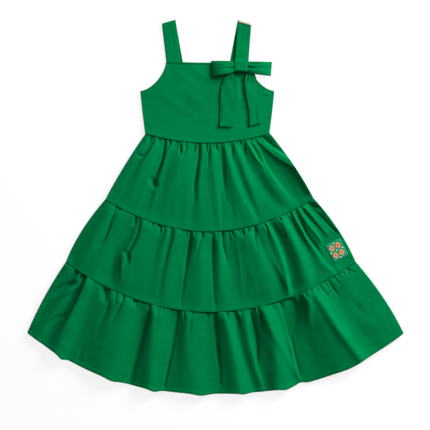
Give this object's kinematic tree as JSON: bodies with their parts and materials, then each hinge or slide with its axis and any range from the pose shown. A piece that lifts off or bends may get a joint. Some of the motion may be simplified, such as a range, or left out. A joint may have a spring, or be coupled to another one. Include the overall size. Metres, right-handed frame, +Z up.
{
  "type": "knit dress",
  "caption": "Sleeveless tiered jersey sundress laid flat, with a square neck, wide straps, gathered skirt tiers and a flat bow with tails.",
  "frame": {"origin": "centre of the outline on the surface that the dress lies on", "axes": "+X to the right seen from above, +Y from the hem towards the shoulders, +Z up through the cloth"},
  "size_m": [0.7896, 0.7884, 0.023],
  "materials": {
    "jersey": "matte cotton jersey with fine slubs",
    "tape": "woven cotton tape",
    "patch": "fine woven label cloth"
  },
  "bodies": {
    "root": {"bodice_back": "jersey", "bodice_front": "jersey", "tier1_back": "jersey", "tier1_front": "jersey", "tier2_back": "jersey", "tier2_front": "jersey", "tier3_back": "jersey", "tier3_front": "jersey", "strap_left": "jersey", "strap_right": "jersey", "strap_tape": "tape", "bow_loop_left": "jersey", "bow_loop_right": "jersey", "bow_knot": "jersey", "bow_tail_left": "jersey", "bow_tail_right": "jersey", "patch": "patch"}
  },
  "joints": []
}
